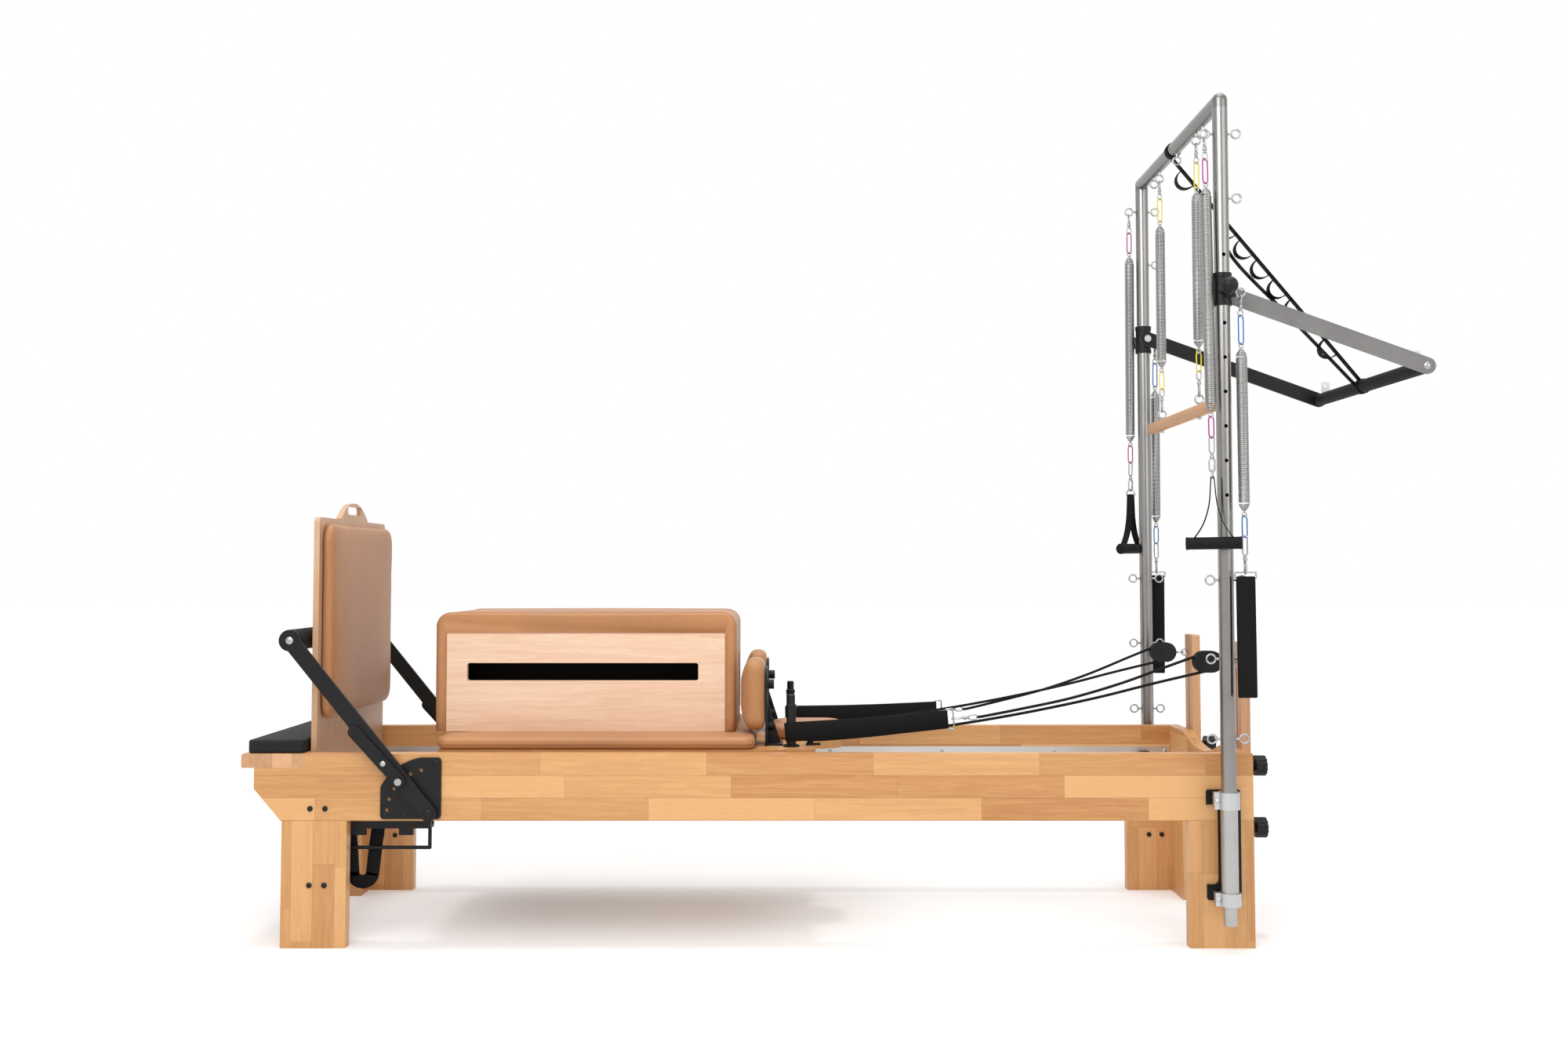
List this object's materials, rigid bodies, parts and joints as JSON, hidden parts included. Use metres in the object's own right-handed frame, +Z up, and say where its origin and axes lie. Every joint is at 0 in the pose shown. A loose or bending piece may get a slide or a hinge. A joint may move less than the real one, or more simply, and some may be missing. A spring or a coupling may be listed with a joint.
{
  "type": "pilates tower unit",
  "caption": "Wooden sliding-carriage exercise bed with footbar, jump board, sitting box, head-end steel tower, push-through bar, sprung hand and leg loops and roll-down bar.",
  "frame": {"origin": "middle of the part's outline in plan, on the floor", "axes": "+X along the rails towards the tower, +Y across them to the far side, +Z up"},
  "size_m": [2.8789, 0.952, 2.0575],
  "materials": {
    "oak": "clear lacquered oak",
    "oak_dark": "oiled oak",
    "plywood": "birch plywood, clear lacquer",
    "black_steel": "satin powder coat",
    "grey_steel": "satin powder coat",
    "bright_steel": "brushed stainless",
    "zinc": "bright zinc plate",
    "track_aluminium": "anodised",
    "cast_alloy": "bead blasted",
    "tan_vinyl": "grained upholstery vinyl over foam",
    "black_pad": "fine grained",
    "black_foam": "closed cell foam",
    "black_plastic": "moulded",
    "wheel_plastic": "moulded",
    "webbing": "woven webbing",
    "rope": "braided cord",
    "spring_steel": "bright wound wire"
  },
  "bodies": {
    "frame": {"side_rails": "oak", "end_boards": "oak", "legs": "oak", "foot_platform": "oak_dark", "platform_pad": "black_pad", "slide_tracks": "track_aluminium", "frame_bolts": "black_steel", "spring_bar": "black_steel", "storage_loop": "webbing", "footbar_plates": "black_steel", "tower_posts": "bright_steel", "tower_crossbar": "bright_steel", "tower_brackets": "black_steel", "tower_clamps": "cast_alloy", "tower_eyebolts": "zinc", "safety_strap": "webbing", "ropes": "rope"},
    "footbar": {"footbar_arms": "black_steel", "footbar_grip": "black_foam"},
    "footbar_lock_near": {"lock_pin_near": "zinc"},
    "footbar_lock_far": {"lock_pin_far": "zinc"},
    "jump_board_set": {"jump_board": "plywood", "jump_board_pad": "tan_vinyl"},
    "carriage": {"carriage_deck": "oak", "carriage_mat": "tan_vinyl", "shoulder_pads": "tan_vinyl", "shoulder_brackets": "black_steel", "strap_pegs": "black_plastic", "foot_straps": "webbing", "carriage_springs": "spring_steel"},
    "foot_wheel_pair": {"foot_wheels": "wheel_plastic"},
    "head_wheel_pair": {"head_wheels": "wheel_plastic"},
    "head_rest": {"headrest": "tan_vinyl"},
    "sitting_box": {"box_panels": "plywood", "box_cover": "tan_vinyl"},
    "slider": {"slider_collars": "black_plastic"},
    "slider_pin_near": {"pop_pin_near": "black_plastic"},
    "slider_pin_far": {"pop_pin_far": "black_plastic"},
    "push_bar": {"push_arms": "grey_steel", "push_grip": "black_foam"},
    "riser_set_near": {"riser_near": "oak_dark", "pulley_near": "black_plastic"},
    "riser_set_far": {"riser_far": "oak_dark", "pulley_far": "black_plastic"},
    "sheave_near": {"pulley_wheel_near": "wheel_plastic"},
    "sheave_far": {"pulley_wheel_far": "wheel_plastic"},
    "clamp_near_upper": {"knob_near_upper": "black_plastic"},
    "clamp_near_lower": {"knob_near_lower": "black_plastic"},
    "clamp_far_upper": {"knob_far_upper": "black_plastic"},
    "clamp_far_lower": {"knob_far_lower": "black_plastic"},
    "handle_set_near": {"handle_spring_near": "spring_steel", "hand_loop_near": "webbing"},
    "handle_set_far": {"handle_spring_far": "spring_steel", "hand_loop_far": "webbing"},
    "leg_set_near": {"leg_spring_near": "spring_steel", "leg_strap_near": "webbing"},
    "leg_set_far": {"leg_spring_far": "spring_steel", "leg_strap_far": "webbing"},
    "roll_down_set": {"bar_springs": "spring_steel", "roll_down_bar": "oak"}
  },
  "joints": [
    {"name": "carriage_slide", "type": "slide", "parent": "frame", "child": "carriage", "axis": [1, 0, 0], "range_m": [0, 0.85], "stiffness_N_per_m": 250, "springref_m": -0.1, "deforming": ["carriage_springs", "foot_straps", "ropes"]},
    {"name": "foot_wheel_roll", "type": "hinge", "parent": "carriage", "child": "foot_wheel_pair", "pos_m": [-0.88804, 0, 0.369], "axis": [0, 1, 0], "continuous": true},
    {"name": "head_wheel_roll", "type": "hinge", "parent": "carriage", "child": "head_wheel_pair", "pos_m": [-0.09404, 0, 0.369], "axis": [0, 1, 0], "continuous": true},
    {"name": "headrest_hinge", "type": "hinge", "parent": "carriage", "child": "head_rest", "pos_m": [-0.17204, 0, 0.47], "axis": [0, -1, 0], "range_deg": [0, 30]},
    {"name": "box_lift", "type": "slide", "parent": "carriage", "child": "sitting_box", "axis": [0, 0, 1], "range_m": [0, 0.3]},
    {"name": "jump_board_lift", "type": "slide", "parent": "frame", "child": "jump_board_set", "axis": [0, 0, 1], "range_m": [0, 0.3]},
    {"name": "footbar_hinge", "type": "hinge", "parent": "frame", "child": "footbar", "pos_m": [-0.98454, 0, 0.3222], "axis": [0, 1, 0], "range_deg": [-45, 0]},
    {"name": "footbar_pin_near", "type": "slide", "parent": "footbar", "child": "footbar_lock_near", "axis": [0, -1, 0], "range_m": [0, 0.01], "stiffness_N_per_m": 800},
    {"name": "footbar_pin_far", "type": "slide", "parent": "footbar", "child": "footbar_lock_far", "axis": [0, 1, 0], "range_m": [0, 0.01], "stiffness_N_per_m": 800},
    {"name": "slider_slide", "type": "slide", "parent": "frame", "child": "slider", "axis": [0, 0, 1], "range_m": [-0.4125, 0.0825], "deforming": ["safety_strap"]},
    {"name": "push_bar_hinge", "type": "hinge", "parent": "slider", "child": "push_bar", "pos_m": [0.92296, 0, 1.576], "axis": [0, 1, 0], "range_deg": [-70, 0], "deforming": ["safety_strap"]},
    {"name": "slider_pin_near_pull", "type": "slide", "parent": "slider", "child": "slider_pin_near", "axis": [0, -1, 0], "range_m": [0, 0.008], "stiffness_N_per_m": 800},
    {"name": "slider_pin_far_pull", "type": "slide", "parent": "slider", "child": "slider_pin_far", "axis": [0, 1, 0], "range_m": [0, 0.008], "stiffness_N_per_m": 800},
    {"name": "handle_swing_near", "type": "hinge", "parent": "frame", "child": "handle_set_near", "pos_m": [0.87996, -0.396, 1.955], "axis": [0, 1, 0], "range_deg": [0, 60]},
    {"name": "handle_swing_far", "type": "hinge", "parent": "frame", "child": "handle_set_far", "pos_m": [0.87996, 0.396, 1.955], "axis": [0, 1, 0], "range_deg": [0, 60]},
    {"name": "leg_swing_near", "type": "hinge", "parent": "slider", "child": "leg_set_near", "pos_m": [0.95596, -0.414, 1.566], "axis": [0, -1, 0], "range_deg": [0, 60]},
    {"name": "leg_swing_far", "type": "hinge", "parent": "slider", "child": "leg_set_far", "pos_m": [0.95596, 0.414, 1.566], "axis": [0, -1, 0], "range_deg": [0, 60]},
    {"name": "roll_down_swing", "type": "hinge", "parent": "frame", "child": "roll_down_set", "pos_m": [0.91796, 0, 1.999], "axis": [0, 1, 0], "range_deg": [-30, 30]},
    {"name": "riser_near_slide", "type": "slide", "parent": "frame", "child": "riser_set_near", "axis": [0, 0, 1], "range_m": [-0.12, 0], "deforming": ["ropes"]},
    {"name": "riser_far_slide", "type": "slide", "parent": "frame", "child": "riser_set_far", "axis": [0, 0, 1], "range_m": [-0.12, 0], "deforming": ["ropes"]},
    {"name": "sheave_near_spin", "type": "hinge", "parent": "riser_set_near", "child": "sheave_near", "pos_m": [0.91996, -0.221, 0.675], "axis": [0, 1, 0], "continuous": true},
    {"name": "sheave_far_spin", "type": "hinge", "parent": "riser_set_far", "child": "sheave_far", "pos_m": [0.91996, 0.221, 0.675], "axis": [0, 1, 0], "continuous": true},
    {"name": "clamp_near_upper_turn", "type": "hinge", "parent": "frame", "child": "clamp_near_upper", "pos_m": [1.03196, -0.221, 0.418], "axis": [1, 0, 0], "continuous": true},
    {"name": "clamp_near_lower_turn", "type": "hinge", "parent": "frame", "child": "clamp_near_lower", "pos_m": [1.03196, -0.221, 0.266], "axis": [1, 0, 0], "continuous": true},
    {"name": "clamp_far_upper_turn", "type": "hinge", "parent": "frame", "child": "clamp_far_upper", "pos_m": [1.03196, 0.221, 0.418], "axis": [1, 0, 0], "continuous": true},
    {"name": "clamp_far_lower_turn", "type": "hinge", "parent": "frame", "child": "clamp_far_lower", "pos_m": [1.03196, 0.221, 0.266], "axis": [1, 0, 0], "continuous": true}
  ],
  "couplings": [
    {"joint": "foot_wheel_roll", "follows": "carriage_slide", "rad_per_m": 40.486},
    {"joint": "head_wheel_roll", "follows": "carriage_slide", "rad_per_m": 40.486}
  ]
}
